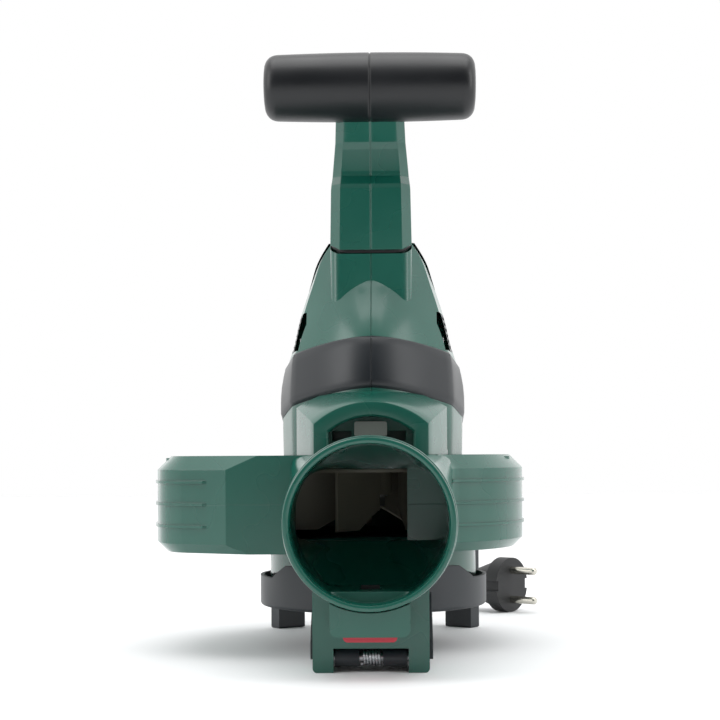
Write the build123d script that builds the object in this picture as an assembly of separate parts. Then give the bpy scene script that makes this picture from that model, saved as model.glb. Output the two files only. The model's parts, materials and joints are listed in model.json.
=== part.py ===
from build123d import *
from math import asin, cos, degrees, radians, sin
import os

# Leaf blower with a vertical motor over a snail-shaped fan case, in millimetres.
# The model is drawn with the fan axis at X = 0, Y = 0 and the floor at Z = 0, and the outlet
# points towards -Y. At export everything is shifted, so that the origin is on the floor under
# the middle of the machine without its cord.

os.makedirs("parts", exist_ok=True)

# ---- driving dimensions ----
skin = 2.4                     # wall of the green shells
running_gap = 0.05             # radial clearance of shafts and pins in their holes
body_gap = 0.4                 # gap between pieces that move past each other
seam = 0.001                   # half the gap where two shell halves meet
tiny = 0.01

case_floor_z = 53.4            # underside of the fan case
case_height = 49.6
case_split_z = 78.3            # parting plane of the two fan case halves
spiral_first_radius = 73.8     # first of the four quarter arcs of the case wall
spiral_step = 16.65            # each quarter arc is this much larger than the last
shoulder_angle = 202.0         # where the wall leaves the spiral and turns to the outlet
case_top_chamfer = 7.1
case_low_chamfer = 4.8
rib_pitch = 11.3               # height between the ribs round the case wall
rib_height = 1.5
rib_depth = 1.0
duct_front_y = -71.0           # front end of the fan case, where the outlet tube starts
tongue_x = 18.0                # the case wall covers the outlet right of this
inlet_eye_radius = 42.0

outlet_outer_radius = 40.35
outlet_bore_radius = 36.3       # inside the mouth's lip
outlet_inner_radius = 36.8      # behind the lip
outlet_axis_z = 71.8
outlet_rim_y = -148.0
outlet_lip = 12.0              # length of the full round mouth
outlet_round_y = -100.6        # the tube is round in front of this
outlet_flat_z = 40.5           # flat floor inside the tube

band_front_y = -44.4           # the dark band's edges cross this line at the heights below
band_low_z = 136.2
band_high_z = 165.4
band_tilt = 14.0               # the band rises towards the front
band_proud = 1.2
vent_half_length = 16.0
vent_low_z = 159.2
vent_high_z = 180.0

tilt_axis_y = -2.2             # pivot of the stem
tilt_axis_z = 180.6
drum_radius = 37.0             # top of the neck, round about the pivot
liner_thickness = 1.5
neck_half_width = 21.8
neck_front_y = -24.4
neck_rear_y = 20.0
stem_tilt = 12.0               # how far the stem tilts each way
tongue_depth = 10.4
tongue_half_width = 5.0
pivot_bolt_radius = 3.0
pivot_boss_radius = 7.0

grip_length = 110.3
grip_radius = 17.9
grip_y = -34.0
grip_z = 296.0
grip_core_radius = 8.0

shaft_radius = 4.0
bearing_radius = 11.0
bearing_width = 6.0
stator_radius = 39.0
armature_radius = 22.5
air_gap = 0.8
stack_height = 24.0
winding_height = 5.0
impeller_radius = 59.0
impeller_low_z = 63.6
impeller_plate_z = 94.0
impeller_plate = 1.8
vane_count = 9

neck_low_radius = 56.8         # air inlet under the case
neck_high_radius = 55.6
neck_wall = 2.4
neck_mid_z = 37.0              # height of the slanted lower edge at the fan axis
neck_slant = 9.0
guard_radius = 61.6
guard_wall = 2.0
guard_low_z = 22.2
guard_top_z = 38.5
guard_front_z = 45.5
grille_thickness = 2.2
guard_hinge_y = -107.3
guard_hinge_z = 6.7
hinge_barrel_radius = 4.3
hinge_pin_radius = 1.9
spring_coils = 6
spring_wire_radius = 0.6
spring_coil_radius = 3.1

leg_half_width = 27.7
leg_thickness = 9.9
leg_front_y = -112.5
leg_depth = 22.0
bridge_low_z = 11.5
foot_inner_radius = 88.4
foot_outer_radius = 96.6
foot_first_angle = 50.0
foot_last_angle = 61.5

latch_half_width = 18.3
latch_low_z = 20.4
latch_front_y = -142.8
latch_rear_y = -113.1
latch_pivot_y = -127.5
latch_pivot_z = 25.8
button_half_width = 12.4

handle_half_width = 15.0
handle_wall = 2.4
trigger_half_width = 6.2
trigger_pivot_y = 84.0
trigger_pivot_z = 187.0
lock_y = 108.0
lock_z = 196.5
lock_radius = 4.6
dial_y = 78.0
dial_z = 207.3
dial_radius = 10.0
dial_half_width = 3.6
strap_eye_y = 150.0
strap_eye_z = 207.5
strap_eye_radius = 4.5
gland_radius = 5.6
gland_length = 26.0
gland_y = 146.5                # where the cord leaves the handle
gland_z = 113.0
gland_slope = 51.0             # degrees below level

cord_radius = 3.7
plug_radius = 17.7
plug_length = 30.0
plug_heading = -39.7           # the pins point this way, degrees from +X
pin_spacing = 19.0
pin_length = 19.0
pin_radius = 2.4

case_top_z = case_floor_z + case_height
half_step = spiral_step / 2


# ---- helpers ----
def block(x0, x1, y0, y1, z0, z1):
    return Pos((x0 + x1) / 2, (y0 + y1) / 2, (z0 + z1) / 2) * Box(x1 - x0, y1 - y0, z1 - z0)


def rod_x(radius, x0, x1, y, z):
    return Pos((x0 + x1) / 2, y, z) * Rot(0, 90, 0) * Cylinder(radius, x1 - x0)


def rod_y(radius, y0, y1, x, z):
    return Pos(x, (y0 + y1) / 2, z) * Rot(90, 0, 0) * Cylinder(radius, y1 - y0)


def rod_z(radius, z0, z1, x=0, y=0):
    return Pos(x, y, (z0 + z1) / 2) * Cylinder(radius, z1 - z0)


def ring_z(outer, inner, z0, z1, x=0, y=0):
    return rod_z(outer, z0, z1, x, y) - rod_z(inner, z0 - 1, z1 + 1, x, y)


def side_face(points, corners):
    # a face in the YZ plane from (y, z) points with rounded corners
    return Plane.YZ * make_face(FilletPolyline(*points, radius=corners, close=True))


def side_plate(points, corners, half_width):
    return extrude(side_face(points, corners), half_width, both=True)


def both_sides(piece):
    return piece + mirror(piece, about=Plane.YZ)


def joined(pieces):
    whole = pieces[0]
    for piece in pieces[1:]:
        whole += piece
    return whole


def halves(piece):
    left = piece & block(-300, -seam, -400, 400, -50, 500)
    right = piece & block(seam, 300, -400, 400, -50, 500)
    return left, right


def hex_prism(place, across_corners, length):
    return extrude(place * RegularPolygon(across_corners, 6), length)


# ---- fan case ----
def spiral_centre(quarter):
    # corners of a small square, so that the quarter arcs join without a step
    x, y = [(1, 1), (-1, 1), (-1, -1), (1, -1)][quarter]
    return x * half_step, y * half_step


def case_outline():
    arcs = []
    for quarter in range(4):
        cx, cy = spiral_centre(quarter)
        radius = spiral_first_radius + quarter * spiral_step
        first, sweep = 90 * quarter - 90, 90
        if quarter == 0:
            run = outlet_outer_radius - cx
            first = -degrees(asin((radius ** 2 - run ** 2) ** 0.5 / radius))
            sweep = -first
        if quarter == 3:
            sweep = shoulder_angle - 180
        arcs.append(CenterArc((cx, cy), radius, first, sweep))
    start, end = arcs[0] @ 0, arcs[3] @ 1
    duct = Polyline(
        (end.X, end.Y),
        (-outlet_outer_radius, duct_front_y - 16),
        (-outlet_outer_radius, duct_front_y - 18),
        (outlet_outer_radius, duct_front_y - 18),
        (start.X, start.Y),
    )
    face = make_face(Wire([*arcs, *duct.edges()]))
    face = fillet(face.vertices().sort_by_distance((end.X, end.Y))[0], 26)
    face = fillet(face.vertices().sort_by_distance((start.X, start.Y))[0], 9)
    return face & (Pos(0, duct_front_y + 200) * Rectangle(500, 400))


def case_body(inset, z0, z1, top_cut, low_cut):
    face = case_outline()
    if inset:
        face = offset(face, -inset, kind=Kind.INTERSECTION)
    solid = extrude(Pos(0, 0, z0) * face, z1 - z0)
    for index, cut in ((-1, top_cut), (0, low_cut)):
        front = solid.faces().sort_by(Axis.Y)[0].edges()
        solid = chamfer(solid.edges().group_by(Axis.Z)[index] - front, cut)
    return solid


def case_ribs():
    grown = offset(case_outline(), rib_depth, kind=Kind.INTERSECTION)
    levels = [case_split_z + k * rib_pitch - rib_height / 2 for k in (-1, 0, 1)]
    ribs = joined([extrude(Pos(0, 0, z) * grown, rib_height) for z in levels])
    return ribs & block(-300, 300, duct_front_y + 5, 300, 0, 300)


def case_mouth():
    return (tongue_x, case_floor_z + skin + 4.5, case_top_z - skin - 4.5)


def case_shell():
    low, high = case_floor_z, case_top_z
    outer = case_body(0, low, high, case_top_chamfer, case_low_chamfer)
    inner = case_body(skin, low + skin, high - skin, case_top_chamfer - 1, case_low_chamfer - 1)
    mouth_x, mouth_low, mouth_high = case_mouth()
    mouth = block(
        -outlet_outer_radius + skin, mouth_x, duct_front_y - 5, duct_front_y + 50, mouth_low, mouth_high
    )
    front = duct_front_y
    closed = block(mouth_x, outlet_outer_radius, front, front + skin, low + skin, high - skin)
    tongue = block(mouth_x, mouth_x + skin, front, front + 9, low + skin, high - skin)
    return (outer + case_ribs()) - inner - mouth + ((closed + tongue) & outer)


def screw_places():
    places = []
    for quarter, angle in ((0, -20), (1, 45), (2, 135), (3, 190)):
        cx, cy = spiral_centre(quarter)
        reach = spiral_first_radius + quarter * spiral_step - skin - 7.0
        places.append((cx + reach * cos(radians(angle)), cy + reach * sin(radians(angle))))
    return places


def fan_case():
    low, high = case_floor_z, case_top_z
    whole = case_shell()
    whole += joined([rod_z(5.0, low + 1, high - 1, x, y) for x, y in screw_places()])
    whole -= joined([rod_z(1.8, low + 3, high - 12, x, y) for x, y in screw_places()])
    whole -= joined([rod_z(3.6, low - 1, low + 6, x, y) for x, y in screw_places()])
    whole -= rod_z(bearing_radius + 5, high - skin - 1, high + 1)
    whole -= rod_z(inlet_eye_radius, low - 1, low + skin + 1)
    upper = whole & block(-300, 300, -300, 300, case_split_z, 300)
    lower = whole & block(-300, 300, -300, 300, 0, case_split_z)
    return upper, lower


def case_screws():
    low = case_floor_z
    screws = []
    for x, y in screw_places():
        shank = rod_z(1.8, low + 6, high_of_screw(), x, y)
        head = rod_z(3.3, low + 3.4, low + 6, x, y)
        screws.append(shank + head - hex_prism(Plane((x, y, low + 3)), 1.6, 1.6))
    return joined(screws)


def high_of_screw():
    return case_top_z - 14


# ---- outlet ----
def tube_section(y, half_width, low_z, high_z, corner):
    place = Plane((0, y, (low_z + high_z) / 2), x_dir=(1, 0, 0), z_dir=(0, -1, 0))
    return place * RectangleRounded(2 * half_width, high_z - low_z, corner)


def throat(half_width, low_z, high_z, corner, radius):
    # from the square duct to the round tube
    back = tube_section(duct_front_y, half_width, low_z, high_z, corner)
    z = outlet_axis_z
    return loft([back, tube_section(outlet_round_y, radius, z - radius, z + radius, radius - 0.1)])


def outlet_outer():
    body = throat(outlet_outer_radius, case_floor_z, case_top_z, 4.5, outlet_outer_radius)
    return body + rod_y(outlet_outer_radius, outlet_rim_y + 9.4, outlet_round_y, 0, outlet_axis_z)


def hook_slot():
    return block(-5.5, 5.5, -121.8, -113.9, 30, 50)


def outlet_tube():
    z, rim = outlet_axis_z, outlet_rim_y
    flange = rod_y(outlet_outer_radius - 0.9, rim, rim + 6.6, 0, z)
    groove = rod_y(outlet_outer_radius - 2.1, rim + 6.5, rim + 9.5, 0, z)
    tube = outlet_outer() + flange + groove
    mouth_x, mouth_low, mouth_high = case_mouth()
    tube -= throat(outlet_outer_radius - skin, mouth_low, mouth_high, 3.0, outlet_inner_radius)
    tube -= rod_y(outlet_bore_radius, rim - 1, rim + outlet_lip + tiny, 0, z)
    inner = rod_y(outlet_inner_radius, rim + outlet_lip, outlet_round_y + tiny, 0, z)
    flat = block(-60, 60, rim, outlet_round_y + 4, 0, outlet_flat_z)
    return tube - (inner - flat) - hook_slot()


def alignment_ridges():
    # bayonet ridges on the outside of the collar
    ridges = []
    for angle in (24, 38):
        place = Pos(0, 0, outlet_axis_z) * Rot(0, -angle, 0) * Pos(outlet_outer_radius, 0, 0)
        ridges.append(place * Pos(0.9, outlet_rim_y + 26, 0) * Box(2.4, 10, 3.7))
    return joined(ridges) - outlet_outer()


# ---- motor housing ----
def housing_body(inset, closed_low=False):
    # height, half width, front, rear and corner radius of each level
    rows = [
        (case_top_z, 49.2, -49.4, 49.4, 46.5),
        (113.0, 49.5, -49.8, 49.6, 45.0),
        (124.0, 49.5, -50.2, 49.6, 43.0),
        (151.7, 45.9, -48.8, 48.1, 37.0),
        (174.0, 41.1, -40.0, 45.1, 32.5),
        (194.0, 35.5, -28.9, 40.7, 25.0),
        (209.4, 31.1, -22.2, 34.8, 18.0),
        (217.5, 25.9, -17.8, 28.9, 13.0),
        (220.0, 22.2, -14.0, 24.4, 10.0),
    ]
    if closed_low:
        rows = rows[:-2]
    sections = []
    for z, half, front, rear, corner in rows:
        place = Pos(0, (front + rear) / 2, z)
        width, depth = 2 * (half - inset), rear - front - 2 * inset
        sections.append(place * RectangleRounded(width, depth, max(corner - inset, 3.0)))
    return loft(sections)


def housing_hollow():
    return housing_body(skin, closed_low=True)


def below_band_edge(front_z):
    # everything under the tilted plane that holds one edge of the band
    place = Pos(0, band_front_y, front_z) * Rot(-band_tilt, 0, 0)
    return place * Pos(0, 0, -150) * Box(300, 500, 300)


def neck():
    box = block(-neck_half_width, neck_half_width, neck_front_y, neck_rear_y, 184, 240)
    box = fillet(box.edges().filter_by(Axis.Z), 9.6)
    return box & rod_x(drum_radius, -60, 60, tilt_axis_y, tilt_axis_z)


def stem_sweep():
    # room over the neck for the foot of the stem through its whole swing
    reach = (drum_radius + 8) * sin(radians(stem_tilt)) + 1
    half = neck_half_width + 0.8
    room = block(-half, half, neck_front_y - reach, neck_rear_y + reach, 198, 260)
    return room - rod_x(drum_radius, -60, 60, tilt_axis_y, tilt_axis_z)


def stem_slot():
    reach = tongue_depth / 2 + (drum_radius + liner_thickness) * sin(radians(stem_tilt)) + 0.8
    half = tongue_half_width + body_gap
    return block(-half, half, tilt_axis_y - reach, tilt_axis_y + reach, tilt_axis_z, 240)


def vent_window(grow=0.0):
    y, low, high = vent_half_length + grow, vent_low_z - grow, vent_high_z + grow
    return both_sides(block(28, 70, -y, y, low, high))


def motor_housing():
    solid = housing_body(0) - stem_sweep() + neck()
    shell = solid - housing_hollow() - below_band_edge(band_high_z)
    boss = both_sides(rod_x(pivot_boss_radius, tongue_half_width + 2.6, 42, tilt_axis_y, tilt_axis_z))
    web = both_sides(block(14, 40, tilt_axis_y - 1.2, tilt_axis_y + 1.2, tilt_axis_z, 206))
    shell += (boss + web) & housing_body(0.4)
    shell -= rod_x(pivot_bolt_radius, -60, 60, tilt_axis_y, tilt_axis_z)
    return shell - stem_slot() - vent_window() - rear_handle_outer()


def side_louvres():
    panel = (housing_body(0) - housing_hollow()) & vent_window(-0.05)
    pitch = (vent_high_z - vent_low_z - 2.5) / 6
    slots = [block(20, 90, -13.5, 13.5, vent_low_z + 2.2 + pitch * k, vent_low_z + 4 + pitch * k) for k in range(6)]
    return panel - both_sides(joined(slots))


def screw_well():
    return Pos(-41.5, -28.5, 148) * Rot(0, 0, -34) * Rot(90, 0, 0)


def dark_band():
    zone = below_band_edge(band_high_z) - below_band_edge(band_low_z)
    ring = (housing_body(-band_proud) - housing_hollow()) & zone
    return ring - screw_well() * Pos(0, 0, 3) * Cylinder(4.2, 8) - rear_handle_outer()


# ---- hood over the outlet ----
visor_half_width = 29.6
visor_front_y = -68.0
visor_back_y = -57.0


def arch_prism(half_width, low_z, side_z, top_z, front_y, back_y):
    path = [
        Line((-half_width, low_z), (half_width, low_z)),
        Line((half_width, low_z), (half_width, side_z)),
        ThreePointArc((half_width, side_z), (0, top_z), (-half_width, side_z)),
        Line((-half_width, side_z), (-half_width, low_z)),
    ]
    return Pos(0, front_y, 0) * extrude(Plane.XZ * make_face(Wire(path)), -(back_y - front_y))


def hood():
    zone = below_band_edge(band_low_z)
    visor = arch_prism(visor_half_width, case_top_z, 119, 130.5, visor_front_y, -30) & zone
    shell = (housing_body(0) & zone) + visor - housing_hollow()
    shell -= arch_prism(21.5, case_top_z - 1, 114.5, 122.5, visor_front_y - 1, visor_back_y)
    holes = [block(x - 5, x + 5, visor_back_y - 2, visor_back_y + 4, 110.3, 115.3) for x in (-15.0, 12.6)]
    slits = [block(x - 0.6, x + 0.6, -70, -30, 110.5, 119) for x in (-35.5, 35.5)]
    return shell - joined(holes + slits) - outlet_outer() - rear_handle_outer()


def catch_block():
    # grey catch over the outlet, in the hood's recess
    piece = block(-8.5, 8.1, visor_back_y - 7, visor_back_y, 112.5, 120)
    return fillet(piece.edges().filter_by(Axis.Y), 1.2)


# ---- motor ----
plate_top_z = case_top_z + 2.5
fan_low_z = plate_top_z + bearing_width + 0.8
stack_low_z = fan_low_z + 6.9 + winding_height + 1.5
stack_top_z = stack_low_z + stack_height
commutator_low_z = stack_top_z + winding_height + 0.8
upper_bearing_z = stack_top_z + winding_height + 10.5


def bearing_plate():
    plate = rod_z(bearing_radius + 4.5, case_top_z - skin, plate_top_z)
    plate += rod_z(45.0, case_top_z, plate_top_z)
    plate += rod_z(bearing_radius + 3, plate_top_z - 1, plate_top_z + bearing_width)
    plate -= rod_z(bearing_radius, plate_top_z, plate_top_z + bearing_width + 1)
    return plate - rod_z(shaft_radius + 1.2, 90, 130)


def bearing(z):
    return ring_z(bearing_radius, shaft_radius + running_gap, z, z + bearing_width)


def upper_bracket():
    z = upper_bearing_z
    frame = block(-stator_radius, stator_radius, -9, 9, z - 2, z + 1)
    frame += both_sides(block(33, stator_radius - 0.5, -9, 9, stack_top_z, z - 1))
    frame += rod_z(bearing_radius + 2.5, z - 2, z + bearing_width)
    frame -= rod_z(bearing_radius, z, z + bearing_width + 2)
    return frame - rod_z(shaft_radius + 1.2, z - 5, z + 5)


def stator_core():
    bore = armature_radius + air_gap
    core = ring_z(stator_radius, bore, stack_low_z, stack_top_z)
    window = ring_z(stator_radius - 6, bore + 4.5, stack_low_z - 1, stack_top_z + 1)
    return core - (window & (block(-60, 60, 9, 28, 0, 300) + block(-60, 60, -28, -9, 0, 300)))


def stator_coils():
    coils = []
    for z in (stack_low_z - winding_height, stack_top_z):
        ring = ring_z(stator_radius - 4, armature_radius + 3.5, z, z + winding_height)
        coils += [ring & block(-28, 28, 5, 60, 0, 300), ring & block(-28, 28, -60, -5, 0, 300)]
    return joined(coils)


def commutator():
    drum = ring_z(11.5, shaft_radius, commutator_low_z, upper_bearing_z - 2.6)
    grooves = [Rot(0, 0, 15 * k) * block(10.8, 13, -0.25, 0.25, 0, 300) for k in range(24)]
    return drum - joined(grooves)


def brush_holders():
    z = commutator_low_z + 3.4
    case = block(13.5, 32, -4.6, 4.6, z - 3.2, z + 3.2)
    return both_sides(case - block(10, 30, -2.8, 2.8, z - 2.0, z + 2.0))


def carbon_brushes():
    z = commutator_low_z + 3.4
    return both_sides(block(11.8, 24, -2.7, 2.7, z - 1.9, z + 1.9))


def motor_shaft():
    shaft = rod_z(shaft_radius, 72.5, upper_bearing_z + bearing_width + 0.4)
    return chamfer(shaft.edges().group_by(Axis.Z)[0], 0.6)


def armature_core():
    core = ring_z(armature_radius, shaft_radius, stack_low_z, stack_top_z)
    slots = [Rot(0, 0, 30 * k) * block(armature_radius - 2.5, 30, -0.9, 0.9, 0, 300) for k in range(12)]
    return core - joined(slots)


def armature_windings():
    radius = armature_radius - 3
    low = ring_z(radius, shaft_radius, stack_low_z - winding_height, stack_low_z)
    high = ring_z(radius, shaft_radius, stack_top_z, stack_top_z + winding_height)
    windings = low + high
    rims = [e for e in windings.edges() if e.geom_type == GeomType.CIRCLE and e.radius > 15]
    return fillet(rims, 1.6)


def cooling_fan():
    fan = ring_z(33, shaft_radius, fan_low_z, fan_low_z + 1.2)
    fan += ring_z(7, shaft_radius, fan_low_z, fan_low_z + 6)
    blades = [Rot(0, 0, k * 360 / 11) * block(11, 32, -0.7, 0.7, fan_low_z + 1, fan_low_z + 6) for k in range(11)]
    return fan + joined(blades)


def impeller():
    hub_low = impeller_plate_z - 12.5
    wheel = rod_z(impeller_radius, impeller_plate_z, impeller_plate_z + impeller_plate)
    wheel += rod_z(10.5, hub_low, impeller_plate_z + impeller_plate)
    outer = impeller_radius - 0.8
    line = ThreePointArc(
        Vector(19, 0), Vector(39, 0).rotate(Axis.Z, -22), Vector(outer, 0).rotate(Axis.Z, -28)
    )
    vane = extrude(Pos(0, 0, impeller_low_z) * trace(line, 1.6), impeller_plate_z - impeller_low_z + 0.4)
    wheel += joined([Rot(0, 0, k * 360 / vane_count) * vane for k in range(vane_count)])
    eye = Pos(0, 0, impeller_low_z + 5) * Cone(inlet_eye_radius - 4, 20, 10.2)
    return wheel - eye - rod_z(shaft_radius, 60, 140)


def impeller_nut():
    low = impeller_plate_z - 12.5
    nut = hex_prism(Plane((0, 0, low - 6.5)), 6.5, 5.5) + rod_z(8, low - 1, low)
    return nut - rod_z(shaft_radius, 60, 120)


# ---- stem and front grip ----
skirt_radius = drum_radius + liner_thickness + body_gap
wall_in = skin + 0.8


def stem_body(inset):
    # height, half width, front, rear and corner cut of each level
    rows = [
        (186, 21.8, -24.8, 21.6, 5.0),
        (198, 21.8, -24.8, 20.0, 5.0),
        (245, 21.2, -27.0, 12.5, 5.0),
        (252.5, 20.5, -21.0, 7.5, 4.6),
        (268, 18.9, -23.7, -2.0, 4.4),
        (291, 17.4, -44.5, -14.8, 4.4),
        (307.5, 16.9, -42.5, -23.5, 4.0),
    ]
    sections = []
    for z, half, front, rear, cut in rows:
        x, y0, y1 = half - inset, front + inset, rear - inset
        ring = [(x - cut, y0), (x, y0 + cut), (x, y1 - cut), (x - cut, y1)]
        ring += [(-px, py) for px, py in reversed(ring)]
        sections.append(Pos(0, 0, z) * make_face(Polyline(*ring, close=True)))
    return loft(sections, ruled=True) - block(-60, 60, -90, 90, 0, 198)


def stem_outer():
    return stem_body(0)


def tongue_room(grow=0.0):
    half, depth = tongue_half_width + grow, tongue_depth / 2 + grow
    return block(-half, half, tilt_axis_y - depth, tilt_axis_y + depth, tilt_axis_z, 236 + grow)


def stem_shell():
    outer = stem_outer()
    shell = outer - (stem_body(wall_in) - block(-40, 40, -80, 40, 282, 330))
    clamp = tongue_room(3.0) + block(-40, 40, tilt_axis_y - 1.2, tilt_axis_y + 1.2, 200, 239)
    shell += clamp & outer
    shell -= rod_x(skirt_radius, -60, 60, tilt_axis_y, tilt_axis_z)
    shell -= rod_x(grip_core_radius, -60, 60, grip_y, grip_z)
    return shell - tongue_room()


def tilt_tongue():
    # steel tongue that carries the stem on its pivot
    tongue = tongue_room() + rod_x(8, -tongue_half_width, tongue_half_width, tilt_axis_y, tilt_axis_z)
    return tongue - rod_x(pivot_bolt_radius + running_gap, -20, 20, tilt_axis_y, tilt_axis_z)


def drum_liner():
    # dark wearing strip between neck and stem
    half, front, rear = neck_half_width - 0.5, neck_front_y + 0.4, neck_rear_y - 0.4
    pad = fillet(block(-half, half, front, rear, 200, 260).edges().filter_by(Axis.Z), 9.2)
    outer = rod_x(drum_radius + liner_thickness, -60, 60, tilt_axis_y, tilt_axis_z)
    return (pad & outer) - rod_x(drum_radius, -60, 60, tilt_axis_y, tilt_axis_z) - stem_slot()


def pivot_bolt():
    bolt = rod_x(pivot_bolt_radius, -22, 22, tilt_axis_y, tilt_axis_z)
    return bolt


def friction_washers():
    low = tongue_half_width + 0.1
    washer = rod_x(pivot_boss_radius, low, low + 2.4, tilt_axis_y, tilt_axis_z)
    return both_sides(washer - rod_x(pivot_bolt_radius, -60, 60, tilt_axis_y, tilt_axis_z))


def grip_half():
    half, r = grip_length / 2, grip_radius
    path = [
        Line((0, grip_core_radius), (0, r)),
        ThreePointArc((0, r), (half * 0.45, r - 0.25), (half - 5.5, r - 1.3)),
        ThreePointArc((half - 5.5, r - 1.3), (half - 1.5, r - 4.5), (half, r - 10)),
        Line((half, r - 10), (half, 0)),
        Line((half, 0), (half - 4, 0)),
        Line((half - 4, 0), (half - 4, grip_core_radius)),
        Line((half - 4, grip_core_radius), (0, grip_core_radius)),
    ]
    return Pos(0, grip_y, grip_z) * revolve(make_face(Wire(path)), Axis.X)


def grip_halves():
    right = grip_half() - stem_outer()
    return mirror(right, about=Plane.YZ), right


def grip_core():
    half = grip_length / 2 - 4
    core = rod_x(grip_core_radius, -half, half, grip_y, grip_z)
    return core - rod_x(grip_core_radius - 2.4, -half + 3, half - 3, grip_y, grip_z)


# ---- rear handle ----
def handle_face(inset):
    points = [
        (31, 200), (48, 215.5), (100, 214), (158, 197), (172, 168), (160, 124), (134, case_top_z),
        (48, case_top_z), (48, 117), (112, 118), (132, 130), (142, 156), (132, 177), (62, 180),
        (40, 181), (31, 179),
    ]
    corners = [1.5, 20, 60, 26, 34, 26, 4, 0.8, 0.8, 14, 18, 20, 16, 16, 6, 1]
    face = side_face(points, corners)
    return offset(face, -inset, kind=Kind.INTERSECTION) if inset else face


def rear_handle_outer():
    raw = extrude(handle_face(0), handle_half_width, both=True)
    return raw


def handle_cavity():
    return extrude(handle_face(handle_wall), handle_half_width - handle_wall, both=True)


def handle_screw_places():
    return [(118, 206), (64, 110), (151, 196), (148, 122)]


def gland_place():
    return Pos(0, gland_y, gland_z) * Rot(-90 - gland_slope, 0, 0)


def rear_handle():
    raw = rear_handle_outer()
    shell = raw - handle_cavity()
    shell += joined([rod_x(4.0, -14, 14, y, z) for y, z in handle_screw_places()]) & raw
    shell += block(-13, 13, 56, 66.6, 200, 202) & raw
    shell -= joined([rod_x(1.6, -11.5, 11.5, y, z) for y, z in handle_screw_places()])
    shell -= joined([rod_x(3.5, -16, -11.4, y, z) for y, z in handle_screw_places()])
    half = trigger_half_width + 0.5
    shell -= block(-half, half, 53, 90, 170, 184)
    shell -= rod_x(lock_radius + 0.3, -20, -10, lock_y, lock_z)
    half = dial_half_width + 0.5
    shell -= block(-half, half, dial_y - 10.6, dial_y + 10.6, 205, 220)
    shell -= gland_place() * Cylinder(gland_radius, 24)
    return shell


def handle_screws():
    screws = []
    for y, z in handle_screw_places():
        screw = rod_x(1.6, -11.5, 11.5, y, z) + rod_x(3.2, -13.2, -11.4, y, z)
        screws.append(screw)
    return joined(screws)


def trigger():
    points = [
        (54.5, 183), (57, 174), (64, 171.5), (74, 173.5), (82, 178), (87.5, 181.5), (88.5, 187),
        (85, 191), (55, 188.5),
    ]
    piece = side_plate(points, [0.8, 2, 4, 4, 3, 1, 1.5, 1.2, 0.5], trigger_half_width)
    return piece - rod_x(1.5 + running_gap, -20, 20, trigger_pivot_y, trigger_pivot_z)


def trigger_pin():
    half = handle_half_width - handle_wall
    return rod_x(1.5, -half, half, trigger_pivot_y, trigger_pivot_z)


def coil_z(radius, wire, z0, z1, turns, x, y):
    height = z1 - z0 - 2 * wire
    path = Helix(height / turns, height, radius)
    start = path @ 0
    section = Plane(start, z_dir=path % 0) * Circle(wire)
    return Pos(x, y, z0 + wire) * sweep(section, path, is_frenet=True)


def coil_x(radius, wire, x0, x1, turns, y, z):
    height = x1 - x0 - 2 * wire
    path = Helix(height / turns, height, radius)
    section = Plane(path @ 0, z_dir=path % 0) * Circle(wire)
    return Pos(x0 + wire, y, z) * Rot(0, 90, 0) * sweep(section, path, is_frenet=True)


def trigger_spring():
    return coil_z(2.6, 0.4, 190.2, 199.9, 5, 0, 62)


def lock_button():
    button = rod_x(lock_radius, -16.6, -8, lock_y, lock_z) + rod_x(6.0, -12.1, -10.9, lock_y, lock_z)
    return fillet(button.edges().group_by(Axis.X)[0], 0.8)


def lock_spring():
    return coil_x(3.0, 0.35, -7.9, -2.6, 3, lock_y, lock_z)


def switch_module():
    body = block(-7.5, 7.5, 86.8 + 3, 104, 188.5, 203)
    body += block(0.7, 10.5, 103, 112, 189.5, 203)
    return body - rod_x(lock_radius + 0.4, -8, -4.4, lock_y, lock_z)


def speed_dial():
    wheel = rod_x(dial_radius, -dial_half_width, dial_half_width, dial_y, dial_z)
    grooves = []
    for k in range(24):
        turn = Pos(0, dial_y, dial_z) * Rot(15 * k, 0, 0)
        grooves.append(turn * Pos(0, 0, dial_radius) * Cylinder(0.5, 10, rotation=(0, 90, 0)))
    wheel -= joined(grooves)
    return wheel - rod_x(1.5 + running_gap, -20, 20, dial_y, dial_z)


def dial_pin():
    half = handle_half_width - handle_wall
    return rod_x(1.5, -half, half, dial_y, dial_z)


def speed_board():
    return block(-11, 11, 144.6, 146.2, 140, 168)


def strap_eye():
    y, z = strap_eye_y, strap_eye_z
    eye = rod_x(strap_eye_radius + 3.4, -2.5, 2.5, y, z) + block(-2.5, 2.5, y - 7, y + 7, z - 10, z)
    eye -= rod_x(strap_eye_radius, -20, 20, y, z)
    return eye - rear_handle_outer()


def cable_gland():
    # boot from inside the handle wall to the free end, with bend grooves
    place = gland_place()
    boot = place * Pos(0, 0, gland_length / 2) * Cone(gland_radius, 4.5, gland_length)
    boot += place * Pos(0, 0, -2.5) * Cylinder(gland_radius, 5.2)
    for k in range(4):
        groove = place * Pos(0, 0, 8 + 4 * k) * (Cylinder(8, 1.3) - Cylinder(4.1, 1.3))
        boot -= groove
    return boot & (rear_handle_outer() + place * Pos(0, 0, 20) * Cylinder(9, 60))


# ---- cord and plug ----
def plug_place():
    # origin at the middle of the plug's front face, X along the pins
    return Pos(88.5, 157.5, plug_radius + 0.05) * Rot(0, 0, plug_heading)


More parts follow.
